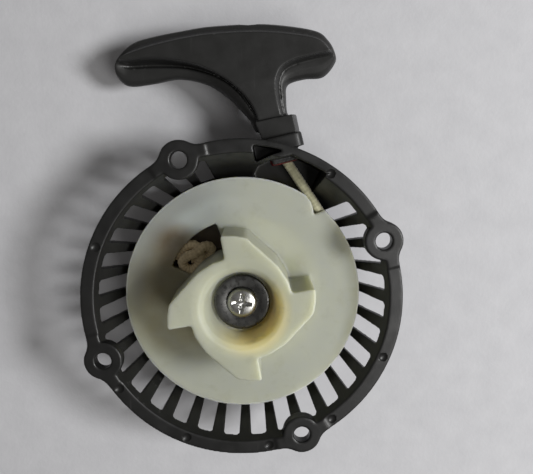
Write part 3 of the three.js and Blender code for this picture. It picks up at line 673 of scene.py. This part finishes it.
def housing():
    ring_bottom = RING_Z - RING_THICKNESS
    obj = solid("housing_shell", lathe([
        (0, 0), (bowl_r(0) + WALL - FACE_CHAMFER, 0), (bowl_r(FACE_CHAMFER) + WALL, FACE_CHAMFER),
        (bowl_r(ring_bottom) + WALL, ring_bottom), (RING_R, ring_bottom), (RING_R, RING_Z),
        (0, RING_Z),
    ]))
    chamber_block = sector(WELL_R, CHAMBER_R + CHAMBER_WALL, CHAMBER_END - CHAMBER_EDGE, 89)
    join(obj, prism(chamber_block, CHAMBER_FLOOR_Z - CHAMBER_WALL, RING_Z - RING_THICKNESS / 2))
    cut(obj, lathe([(0, FLOOR), (bowl_r(FLOOR), FLOOR), (MOUTH_R, RING_Z), (MOUTH_R, RING_Z + 2),
                    (0, RING_Z + 2)]))
    chamber = [polar(50, 85), polar(54.3, 83.4), pull_point(CHAMBER_FACE, -4.8),
               pull_point(CHAMBER_FACE, 3.2), *arc(CHAMBER_R, 67, CHAMBER_END, 8),
               polar(50, CHAMBER_END - 2), polar(40, 70)]
    cut(obj, prism(chamber, CHAMBER_FLOOR_Z, RING_Z + 1))
    pitch = 360 / SLOT_POSITIONS
    for i in range(SLOT_POSITIONS):
        angle = (EAR_ANGLE + pitch * (i + 0.5)) % 360
        if angle < PLAIN_FROM or angle > PLAIN_TO:
            cut(obj, slot_cutter(angle))
    join(obj, lathe([(WELL_R, FLOOR - 1), (WELL_R + WELL_WALL, FLOOR - 1),
                     (WELL_R + WELL_WALL, WELL_Z), (WELL_R, WELL_Z)], 192))
    join(obj, cylinder(POST_R, FLOOR - 1, POST_TOP))
    boss = rounded_rectangle(2 * BOSS_HALF_WIDTH, 2 * BOSS_HALF_HEIGHT, 3)
    join(obj, on_pull_line(prism(boss, CHAMBER_FACE + CHAMBER_WALL, BOSS_END)))
    top = RING_Z + PAD_RISE
    for k in range(EAR_COUNT):
        angle = EAR_ANGLE + k * 360 / EAR_COUNT
        x, y = polar(EAR_CIRCLE_R, angle)
        join(obj, at(cylinder(EAR_R, top - EAR_THICKNESS, top), x, y))
        for side in (-1, 1):
            join(obj, prism(ear_fillet(angle, side), top - EAR_THICKNESS + 0.02, top - 0.02))
        for step in range(PAD_STEPS):
            half = PAD_HALF_ANGLE - 0.35 * step
            pad = sector(MOUTH_R + 0.3 + 0.01 * step, RING_R - 0.05 - 0.01 * step,
                         angle - half, angle + half)
            pad_top = top - 0.04 - PAD_RISE * (PAD_STEPS - 1 - step) / PAD_STEPS
            join(obj, prism(pad, RING_Z - RING_THICKNESS / 2, pad_top))
        cut(obj, at(cylinder(EAR_HOLE_R, RING_Z - 2 * EAR_THICKNESS, top + 1), x, y))
    cut(obj, cylinder(POST_BORE_R, POST_TOP - 22, POST_TOP + 1))
    cut(obj, on_pull_line(cylinder(GUIDE_R + 0.3, CHAMBER_FACE - 2, BOSS_END + 1)))
    cut(obj, on_pull_line(cylinder(GUIDE_FLANGE_R + 0.3, GUIDE_FACE - 2, CHAMBER_FACE + 0.5)))
    hood = [pull_point(*corner) for corner in ((49.6, -5), (49.6, 6.5), (54.5, 6.5), (54.5, -5))]
    join(obj, prism(rounded(hood, 1.0, 3), ROPE_Z + GUIDE_FLANGE_R + 0.4, HOOD_TOP))
    collar_seat = rounded_rectangle(16.6, 16.2, 1.2)
    cut(obj, on_pull_line(at(prism(collar_seat, BOSS_END - 1.4, BOSS_END + 1), 1.1, 0)))
    pocket = [polar(55.7, 84.5), pull_point(54, -4.8), pull_point(54.3, 0), *arc(62.5, 76, 86, 6)]
    cut(obj, prism(rounded(pocket, 0.8, 3), RING_Z - POCKET_DEPTH, RING_Z + 1))
    groove_out = FACE_GROOVE_R + FACE_GROOVE_WIDTH
    cut(obj, lathe([(FACE_GROOVE_R, -1), (groove_out, -1), (groove_out, FACE_GROOVE_DEPTH),
                    (FACE_GROOVE_R, FACE_GROOVE_DEPTH)]))
    cut(obj, lathe([(0, -1), (9, -1), (9, 0.5), (8, 0.9), (0, 0.9)], 96))
    spring_notch = sector(WELL_R - 1, WELL_R + WELL_WALL + 1, 178.2, 181.8, 2)
    cut(obj, prism(spring_notch, FLOOR, WELL_Z + 1))
    soften(obj, 0.42, 3)
    ejector_marks(obj)
    return place(obj, "housing", housing_black, ["housing"])


# Reel

def hub_outline():
    """Four ratchet teeth: a radial driving flank, a land, and a long back down to the next root."""
    tooth = ((20.3, 2.5), (29.5, 0), (28.7, -10), (27.9, -19.5), (22, -55), (21, -75))
    points = [polar(r, 15.7 - i * 90 + a) for i in range(4) for r, a in tooth]
    return rounded(points, 1.2)


def reel():
    obj = solid("reel_body", lathe([
        (0, ARBOR_BOTTOM), (ARBOR_R, ARBOR_BOTTOM), (ARBOR_R, REEL_BOTTOM),
        (LOWER_FLANGE_R, REEL_BOTTOM), (LOWER_FLANGE_R, GROOVE_BOTTOM),
        (DRUM_R, GROOVE_BOTTOM), (DRUM_R, GROOVE_TOP),
        (REEL_R, GROOVE_TOP), (REEL_R, REEL_TOP), (0, REEL_TOP),
    ]))
    window = rounded(sector(15, WINDOW_R, WINDOW_FROM, WINDOW_TO, 12), 1.0, 3)
    cut(obj, prism(window, REEL_BOTTOM + WINDOW_FLOOR, REEL_TOP + 1))
    join(obj, prism(hub_outline(), REEL_BOTTOM + 0.02, HUB_TOP))
    recess = [(0, POST_TOP - 0.3), (12.4, POST_TOP - 0.3), (12.9, 40), (13.6, 46), (14.6, 49.2),
              (16.4, 50.6), (19.5, HUB_TOP + 0.02), (19.5, HUB_TOP + 2), (0, HUB_TOP + 2)]
    notch = [polar(r, a) for r, a in (
        (52, 58.5), (49.3, 57.8), (48.4, 54), (47, 51.4), (44.9, 48.4), (46.9, 47.4), (49.2, 46),
        (52, 45.5),
    )]
    cut(obj, lathe(recess), cylinder(BORE_R, 0, HUB_TOP))
    cut(obj, prism(rounded(notch, 0.7, 3), GROOVE_TOP - 1, REEL_TOP + 1))
    hub_hollow_top = POST_TOP - 3.5
    cut(obj, lathe([(ARBOR_R + 1, REEL_BOTTOM - 1), (19, REEL_BOTTOM - 1), (18, hub_hollow_top),
                    (ARBOR_R + 1, hub_hollow_top)]))
    soften(obj, 0.45, 5)
    return place(obj, "reel", reel_nylon, ["reel"])


# Handle

def handle_matrix():
    start = pull_point(BOSS_END + 0.3)
    turned = Matrix.Rotation(PULL_ANGLE - math.pi / 2, 4, "Z")
    rolled = Matrix.Rotation(-HANDLE_ROLL, 4, "Y")
    return Matrix.Translation((start[0], start[1], ROPE_Z)) @ turned @ rolled


def spline(points, steps, closed=False):
    """A smooth curve through rows of numbers, with steps points from each row to the next."""
    p = np.array(points, float)
    count = len(p)
    if closed:
        p = np.vstack([p[-1:], p, p[:2]])
        spans = count
    else:
        p = np.vstack([2 * p[0] - p[1], p, 2 * p[-1] - p[-2]])
        spans = count - 1
    rows = []
    for i in range(spans):
        a, b, c, d = p[i:i + 4]
        for t in np.arange(steps) / steps:
            rows.append(0.5 * (2 * b + (c - a) * t + (2 * a - 5 * b + 4 * c - d) * t ** 2
                               + (3 * b - a - 3 * c + d) * t ** 3))
    if not closed:
        rows.append(p[-2])
    return np.array(rows)


def loft(rings):
    """A closed shell through rings of the same number of points, capped at both ends."""
    size = len(rings[0])
    vertices = np.vstack(rings)
    faces = [tuple(range(size))[::-1], tuple(range(len(vertices) - size, len(vertices)))]
    for k in range(len(rings) - 1):
        for i in range(size):
            n = (i + 1) % size
            faces.append((k * size + i, k * size + n, (k + 1) * size + n, (k + 1) * size + i))
    return vertices, faces


# The grip's outline, clockwise from the neck's left side. Each row gives (x, y) of the widest
# outline, of the crease or shoulder between the outline and the face, and of the face's edge, then
# the crease's height and the groove's depth there, as shares of the half thickness.
GRIP_ROWS = (
    (-7.2, 3.0, -6.4, 3.0, -5.2, 3.0, 0.50, 0.00),
    (-9.8, 8.7, -7.3, 9.3, -5.4, 9.5, 0.45, 0.05),
    (-12.8, 14.1, -9.0, 15.6, -6.5, 15.6, 0.42, 0.12),
    (-17.4, 21.1, -12.6, 23.0, -9.9, 22.4, 0.38, 0.16),
    (-24.1, 27.5, -19.2, 29.6, -16.0, 29.6, 0.36, 0.22),
    (-34.3, 32.2, -29.4, 35.2, -25.6, 36.6, 0.36, 0.26),
    (-45.3, 33.2, -42.3, 39.0, -39.3, 42.3, 0.36, 0.26),
    (-55.0, 34.6, -52.2, 41.2, -50.6, 44.4, 0.38, 0.22),
    (-58.9, 37.6, -55.6, 42.6, -52.6, 45.0, 0.45, 0.08),
    (-59.5, 42.2, -57.4, 44.4, -53.4, 45.4, 0.55, 0.00),
    (-56.2, 47.2, -55.0, 46.6, -52.2, 46.0, 0.60, 0.00),
    (-48.7, 50.9, -48.3, 49.5, -46.2, 46.3, 0.62, 0.00),
    (-40.1, 51.2, -39.6, 49.9, -37.2, 46.4, 0.62, 0.00),
    (-27.1, 50.2, -26.7, 48.9, -25.0, 45.8, 0.62, 0.00),
    (-15.2, 48.8, -15.0, 47.5, -14.2, 44.4, 0.62, 0.00),
    (3.6, 44.7, 3.1, 43.5, 1.6, 41.0, 0.62, 0.00),
    (16.5, 40.2, 15.8, 39.0, 14.0, 37.0, 0.62, 0.00),
    (25.7, 35.7, 24.8, 34.7, 23.0, 33.2, 0.62, 0.00),
    (28.9, 31.5, 28.0, 31.1, 26.4, 30.8, 0.60, 0.00),
    (30.3, 26.9, 29.6, 27.1, 28.1, 28.0, 0.56, 0.00),
    (29.6, 22.6, 29.3, 25.2, 28.4, 26.7, 0.48, 0.00),
    (23.6, 18.2, 22.8, 25.2, 22.0, 27.0, 0.42, 0.02),
    (16.3, 19.2, 15.0, 25.2, 14.5, 27.1, 0.42, 0.04),
    (10.4, 19.2, 9.6, 23.9, 9.4, 25.8, 0.44, 0.05),
    (8.0, 17.8, 7.0, 20.6, 6.2, 22.2, 0.48, 0.08),
    (7.0, 14.0, 5.9, 15.6, 4.5, 16.6, 0.50, 0.14),
    (6.0, 8.6, 5.3, 8.8, 4.0, 8.8, 0.50, 0.10),
    (5.9, 3.0, 5.3, 3.0, 4.2, 3.0, 0.50, 0.00),
)
# From the outline in to the crease: (share of the way in, share of the crease's height)
LOWER_SECTION = ((0, 0), (0.02, 0.25), (0.1, 0.52), (0.3, 0.8), (0.65, 0.96), (1, 1))
# From the crease in to the face's edge: (share of the way in, share of the rise, groove's weight)
UPPER_SECTION = (
    (0.15, 0.0, 0.7), (0.38, 0.05, 1.0), (0.58, 0.3, 0.5), (0.76, 0.68, 0), (0.9, 0.93, 0), (1, 1, 0),
)


def half_thickness(y):
    t = np.clip((y - COLLAR_LENGTH) / 16.5, 0, 1)
    return NECK_HALF + (HANDLE_HALF - NECK_HALF) * t * t * (3 - 2 * t)


def grip_shell():
    rows = spline(GRIP_ROWS, 10, closed=True)
    outline, crease, edge = rows[:, 0:2], rows[:, 2:4], rows[:, 4:6]
    crease_share, groove = rows[:, 6], rows[:, 7]
    front = []
    for way, share in LOWER_SECTION:
        p = outline + way * (crease - outline)
        front.append(np.column_stack([p, share * crease_share * half_thickness(p[:, 1])]))
    for way, rise, weight in UPPER_SECTION:
        p = crease + way * (edge - crease)
        share = crease_share + rise * (1 - crease_share) - weight * groove
        front.append(np.column_stack([p, share * half_thickness(p[:, 1])]))
    back = [ring * (1, 1, -1) for ring in front[:0:-1]]
    return loft(back + front)


def grip_ribs():
    """Short ribs pressed into the sloping band along the grip's top."""
    line = spline(((-26, 47.8), (-14.7, 46.3), (2.3, 42.4), (15.0, 38.4)), 20)
    shells = []
    for i in range(3, len(line) - 2, 5):
        x, y = line[i]
        tangent = Vector((*(line[i + 1] - line[i - 1]), 0)).normalized()
        outward = Vector((-tangent.y, tangent.x, 0))
        for side in (1, -1):
            normal = (outward * 4.1 + Vector((0, 0, 3.0 * side))).normalized()
            m = Matrix.Identity(4)
            m.col[0][:3] = tangent
            m.col[1][:3] = normal.cross(tangent)
            m.col[2][:3] = normal
            m.col[3][:3] = (x, y, side * 9.0)
            shells.append(moved(prism(rounded_rectangle(1.2, 3.4, 0.5), -0.25, 3), m))
    return shells


def along_y(shell):
    return moved(shell, Matrix.Rotation(-math.pi / 2, 4, "X"))


def handle():
    obj = solid("handle_grip", grip_shell())
    collar = rounded([(-6.8, 7.6), (-5.6, -0.9), (8.6, -0.9), (8.9, 6.9)], 0.7, 4)
    join(obj, prism(collar, -COLLAR_HALF_THICKNESS, COLLAR_HALF_THICKNESS))
    soften(obj, 0.36, 4)
    cut(obj, *grip_ribs())
    pocket = cylinder(KNOT_POCKET_R, KNOT_POCKET_START, 60, 96)
    cut(obj, along_y(cylinder(ROPE_R + 0.7, -2, KNOT_POCKET_START + 1)), along_y(pocket))
    obj.data.transform(handle_matrix())
    return place(obj, "handle", handle_black, ["handle"])


# Rope

PULLED_ROPE_R = 2.05
STRAND_PITCH = 3.0
STRANDS = 4
ROPE_SIDES = 24


def braided_tube(path, radius, lengths=None):
    """A tube along path whose skin rises and falls like a braid; lengths are the cord's own."""
    path = np.array(path, float)
    if lengths is None:
        lengths = np.concatenate([[0], np.cumsum(np.linalg.norm(np.diff(path, axis=0), axis=1))])
    tangents = np.gradient(path, axis=0)
    tangents /= np.linalg.norm(tangents, axis=1)[:, None]
    normal = np.cross(tangents[0], (0, 0, 1))
    if np.linalg.norm(normal) < 0.1:
        normal = np.cross(tangents[0], (1, 0, 0))
    angles = np.linspace(0, 2 * math.pi, ROPE_SIDES, endpoint=False)
    rings = []
    for point, tangent, length in zip(path, tangents, lengths):
        normal = normal - tangent * normal.dot(tangent)
        normal /= np.linalg.norm(normal)
        side = np.cross(tangent, normal)
        turn = 2 * math.pi * length / STRAND_PITCH
        weave = np.cos(STRANDS * angles + turn) * np.cos(STRANDS * angles - turn)
        r = radius * (0.95 + 0.09 * weave)
        outward = np.cos(angles)[:, None] * normal + np.sin(angles)[:, None] * side
        rings.append(point + r[:, None] * outward)
    return loft(rings)


def lifted(points):
    """Flat points at the rope's height."""
    return [(p[0], p[1], ROPE_Z) for p in points]


def tangent_angle():
    """Where the rope leaves the reel's outermost turn towards the guide, in degrees."""
    bend = pull_point(BEND_ALONG)
    reach = np.linalg.norm(bend)
    return math.degrees(math.atan2(bend[1], bend[0]) - math.acos(ROPE_TURN_R / reach))


def line(a, b, step):
    a, b = np.array(a, float), np.array(b, float)
    count = max(1, round(np.linalg.norm(b - a) / step))
    return [a + (b - a) * t for t in np.arange(count) / count]


def pull_rope():
    """From the outermost turn through the guide to the handle's knot. Its stretch inside the guide
    and the handle is packed so that the braid is even once the handle is pulled right out."""
    leave = tangent_angle()
    step = 0.5
    start = polar(ROPE_TURN_R, leave)
    bend = pull_point(BEND_ALONG)
    before = bend + (start - bend) / np.linalg.norm(start - bend) * BEND_REACH
    after = pull_point(BEND_ALONG + BEND_REACH)
    points = arc(ROPE_TURN_R, leave - WRAP_ANGLE, leave, 120)[:-1]
    points += line(start, before, step)
    for t in np.arange(8) / 8:
        points.append((1 - t) ** 2 * before + 2 * t * (1 - t) * bend + t * t * after)
    stretch_from, stretch_to = BEND_ALONG + BEND_REACH + 0.4, BOSS_END + 25.0
    points += line(after, pull_point(stretch_from), step)
    route = np.array(points)
    lengths = np.concatenate([[0], np.cumsum(np.linalg.norm(np.diff(route, axis=0), axis=1))])
    reach = stretch_to - stretch_from
    at_rest = np.linspace(0, reach, 4001)
    t = at_rest / reach
    pulled = at_rest + PULL_TRAVEL * t * t * (3 - 2 * t)
    even = np.arange(0, pulled[-1], 0.6)
    packed = np.interp(even, pulled, at_rest)
    packed, even = packed[1:], even[1:]
    route = np.vstack([route, [pull_point(stretch_from + d) for d in packed]])
    lengths = np.concatenate([lengths, lengths[-1] + even])
    rest = np.arange(stretch_to, BOSS_END + KNOT_POCKET_START + 1, step)
    route = np.vstack([route, [pull_point(d) for d in rest]])
    lengths = np.concatenate([lengths, lengths[-1] + step * (1 + np.arange(len(rest)))])
    obj = solid("pull_rope", braided_tube(lifted(route), PULLED_ROPE_R, lengths))
    place(obj, None, rope_cream, ["rope_run", "rope_in_handle"])
    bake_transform(obj)


def rope_coil():
    """The turns on the drum, one over the other, out to the piece that leaves for the guide."""
    outermost_end = tangent_angle() - WRAP_ANGLE
    turns = FULL_TURNS + ((outermost_end - WINDOW_EXIT_ANGLE) / 360) % 1
    count = round(turns * 480)
    end = outermost_end - 0.4
    angles = np.linspace(end - 360 * turns, end, count + 1)
    share = np.linspace(0, 1, count + 1)
    radii = INNER_TURN_R + (ROPE_TURN_R - INNER_TURN_R) * np.minimum(1, share * 1.06)
    points = [polar(r, a) for r, a in zip(radii, angles)]
    obj = solid("rope_turns", braided_tube(lifted(points), ROPE_R))
    place(obj, "reel", rope_cream, ["rope_winding"])


def reel_knot():
    """An overhand knot lying in the window, tied in the end that comes through the drum."""
    route = spline((
        (-28.2, 14.6, 20.3), (-26.6, 17.4, 20.5), (-23.6, 20.0, 21.4), (-20.4, 20.6, 22.0),
        (-18.0, 18.0, 22.6), (-18.2, 13.4, 22.4), (-20.6, 10.4, 22.0), (-23.8, 10.6, 21.8),
        (-25.4, 13.6, 22.4), (-23.0, 16.2, 24.0), (-19.8, 17.6, 24.8), (-16.2, 20.2, 23.4),
        (-13.4, 19.4, 21.6), (-14.4, 16.4, 20.4), (-17.6, 14.6, 20.4), (-21.8, 14.6, 20.6),
    ), 14)
    obj = solid("knot_in_reel", braided_tube(route, 2.1))
    place(obj, "reel", knot_tan_painted_lighter, ["reel_knot"])


def knot_in_handle():
    t = np.linspace(0, 2 * math.pi, 240, endpoint=False)[:-6]
    size = 1.08
    route = np.column_stack([
        size * (np.sin(t) + 2 * np.sin(2 * t)),
        KNOT_POCKET_START + 4.6 - 1.9 * np.sin(3 * t),
        size * (np.cos(t) - 2 * np.cos(2 * t)),
    ])
    obj = solid("knot_at_grip", braided_tube(route, 1.6))
    obj.data.transform(handle_matrix())
    place(obj, "handle", rope_cream, ["handle_knot"])


# Guide, washer, screw, insert and spring

def rope_guide():
    flange_end = GUIDE_FACE + GUIDE_FLANGE
    flare = GUIDE_MOUTH_R - GUIDE_BORE_R
    funnel = [(GUIDE_BORE_R + flare * (1 - math.sin(a)), GUIDE_FACE + 0.5 + 3.5 * (1 - math.cos(a)))
              for a in np.linspace(math.pi / 2, 0, 8)]
    obj = solid("guide_eyelet", on_pull_line(lathe([
        *funnel[::-1], (GUIDE_MOUTH_R + 0.25, GUIDE_FACE + 0.1), (GUIDE_MOUTH_R + 0.7, GUIDE_FACE),
        (GUIDE_FLANGE_R - 0.7, GUIDE_FACE), (GUIDE_FLANGE_R - 0.2, GUIDE_FACE + 0.2),
        (GUIDE_FLANGE_R, GUIDE_FACE + 0.7), (GUIDE_FLANGE_R, flange_end - 0.3),
        (GUIDE_FLANGE_R - 0.3, flange_end), (GUIDE_R, flange_end), (GUIDE_R, GUIDE_END - 0.4),
        (GUIDE_R - 0.4, GUIDE_END), (GUIDE_BORE_R + 0.3, GUIDE_END), (GUIDE_BORE_R, GUIDE_END - 0.3),
    ], 96)))
    place(obj, "housing", guide_red, ["rope_guide"])


def washer():
    edge = 0.3
    inner = SCREW_R + 0.3
    obj = solid("washer_disc", lathe([
        (inner, WASHER_BOTTOM + edge), (inner + edge, WASHER_BOTTOM), (WASHER_R - edge, WASHER_BOTTOM),
        (WASHER_R - 0.08, WASHER_BOTTOM + 0.1), (WASHER_R, WASHER_BOTTOM + edge),
        (WASHER_R, WASHER_TOP - 0.5), (WASHER_R - 0.12, WASHER_TOP - 0.2),
        (WASHER_R - 0.5, WASHER_TOP - 0.02), (WASHER_R - 1.1, WASHER_TOP),
        (inner + edge, WASHER_TOP - 0.1), (inner, WASHER_TOP - edge),
    ], 192))
    place(obj, "housing", washer_steel, ["retaining_washer"])


def cross_recess():
    """Two crossed tapering blades."""
    shells = []
    for turn in (-6, 84):
        top = rounded_rectangle(9.4, 1.7, 0.5, 4)
        bottom = rounded_rectangle(5.6, 1.2, 0.4, 4)
        shell = loft([
            np.array([(x, y, HEAD_TOP - 1.9) for x, y in bottom]),
            np.array([(x, y, HEAD_TOP + 0.4) for x, y in top]),
        ])
        shells.append(moved(shell, Matrix.Rotation(math.radians(turn), 4, "Z")))
    return shells


def screw():
    thread = [(SCREW_R - 0.05 - (0.5 if i % 2 else 0), SCREW_TIP + 1 + i * 0.5) for i in range(27)]
    obj = solid("screw_body", lathe([
        (0, SCREW_TIP), (SCREW_R - 0.8, SCREW_TIP), *thread,
        (SCREW_R, SCREW_SEAT - 1), (SCREW_R, SCREW_SEAT),
        (HEAD_R - 0.2, SCREW_SEAT), (HEAD_R, SCREW_SEAT + 0.2), (HEAD_R, SCREW_SEAT + 0.7),
        (HEAD_R - 0.15, SCREW_SEAT + 1.0), (HEAD_R - 0.35, SCREW_SEAT + 1.4),
        (HEAD_R - 0.7, SCREW_SEAT + 1.8), (HEAD_R - 1.2, SCREW_SEAT + 2.1),
        (HEAD_R - 1.9, SCREW_SEAT + 2.35), (HEAD_R - 2.9, SCREW_SEAT + 2.52),
        (HEAD_R - 4, HEAD_TOP), (0, HEAD_TOP),
    ], 128))
    cut(obj, *cross_recess())
    place(obj, "housing", screw_steel, ["centre_screw"])


def insert():
    """A turned sleeve with grooves round its outside."""
    inner, outer = SCREW_R + 0.2, INSERT_R
    ridges = [(outer - (0.35 if i % 2 else 0), INSERT_BOTTOM + 0.6 + i * 0.6) for i in range(23)]
    obj = solid("insert_sleeve", lathe([
        (inner, INSERT_BOTTOM), (outer - 0.4, INSERT_BOTTOM), *ridges, (outer - 0.3, INSERT_TOP),
        (inner + 0.3, INSERT_TOP), (inner, INSERT_TOP - 0.3),
    ], 96))
    place(obj, "housing", insert_brass, ["threaded_insert"])


def spring():
    """The wound strip, hooked into the arbor and the well's wall."""
    strip, turns, gap, hook = 0.7, 8.5, 0.5, 1.6
    start, end = ARBOR_R + gap, WELL_R - gap - strip
    share = np.linspace(0, 1, 900)
    inner = [polar(start + (end - start) * t, 360 * turns * t) for t in share]
    outer = [polar(start + (end - start) * t + strip, 360 * turns * t) for t in share]
    outline = [
        polar(start - hook, 2.8), polar(start, 2.8), *inner[4:],
        polar(end + strip + hook, 180), polar(end + strip + hook, 179), polar(end + strip, 179),
        *outer[-6:0:-1], polar(start - hook, 0),
    ]
    obj = solid("spring_strip", prism(outline, SPRING_LOW[2], SPRING_HIGH[2]))
    place(obj, "housing", spring_blue, ["rewind_spring"])


housing()
reel()
handle()
pull_rope()
rope_coil()
reel_knot()
knot_in_handle()
rope_guide()
washer()
screw()
insert()
spring()


# Floor, light and camera

def add_area(name, location, target, size, energy, colour):
    light = bpy.data.lights.new(name, "AREA")
    light.shape = "DISK"
    light.size = size
    light.energy = energy
    light.color = colour
    obj = bpy.data.objects.new(name, light)
    bpy.context.scene.collection.objects.link(obj)
    obj.location = location
    obj.rotation_euler = (Vector(target) - Vector(location)).to_track_quat("-Z", "Y").to_euler()


def stage():
    material, tree, shader, where = finish_tree("floor_paper", Roughness=0.9)
    tree.links.new(mix(tree, noise(tree, where, 90, 5), (0.41, 0.41, 0.425), (0.50, 0.50, 0.515)),
                   shader.inputs["Base Color"])
    bump(tree, shader, noise(tree, where, 500, 4), 0.25, 0.0004)
    half = 3.0
    mesh = bpy.data.meshes.new("floor")
    corners = [(-half, -half, 0), (half, -half, 0), (half, half, 0), (-half, half, 0)]
    mesh.from_pydata(corners, [], [(0, 1, 2, 3)])
    mesh.materials.append(material)
    floor = bpy.data.objects.new("floor", mesh)
    bpy.context.scene.collection.objects.link(floor)
    floor.location.z = -0.0002

    world = bpy.data.worlds.new("studio")
    world.use_nodes = True
    world.node_tree.nodes["Background"].inputs["Color"].default_value = (1.0, 0.97, 0.94, 1)
    world.node_tree.nodes["Background"].inputs["Strength"].default_value = 0.16
    bpy.context.scene.world = world
    add_area("key", (0.85, 0.08, 0.85), (0, 0, 0.02), 0.35, 14, (1.0, 1.0, 1.0))
    add_area("panel", (0.45, -0.27, 0.95), (0, 0, 0.02), 0.5, 3.6, (1.0, 0.99, 0.97))


def camera():
    data = bpy.data.cameras.new("camera")
    data.sensor_width = 36
    data.lens = 43.6
    data.clip_start = 0.01
    obj = bpy.data.objects.new("camera", data)
    bpy.context.scene.collection.objects.link(obj)
    obj.location = (0.00564, 0.06296, 0.2914)
    obj.rotation_euler = (math.radians(-8.24), math.radians(-0.94), 0)
    bpy.context.scene.camera = obj


stage()
camera()
bpy.context.scene.view_settings.view_transform = "Standard"
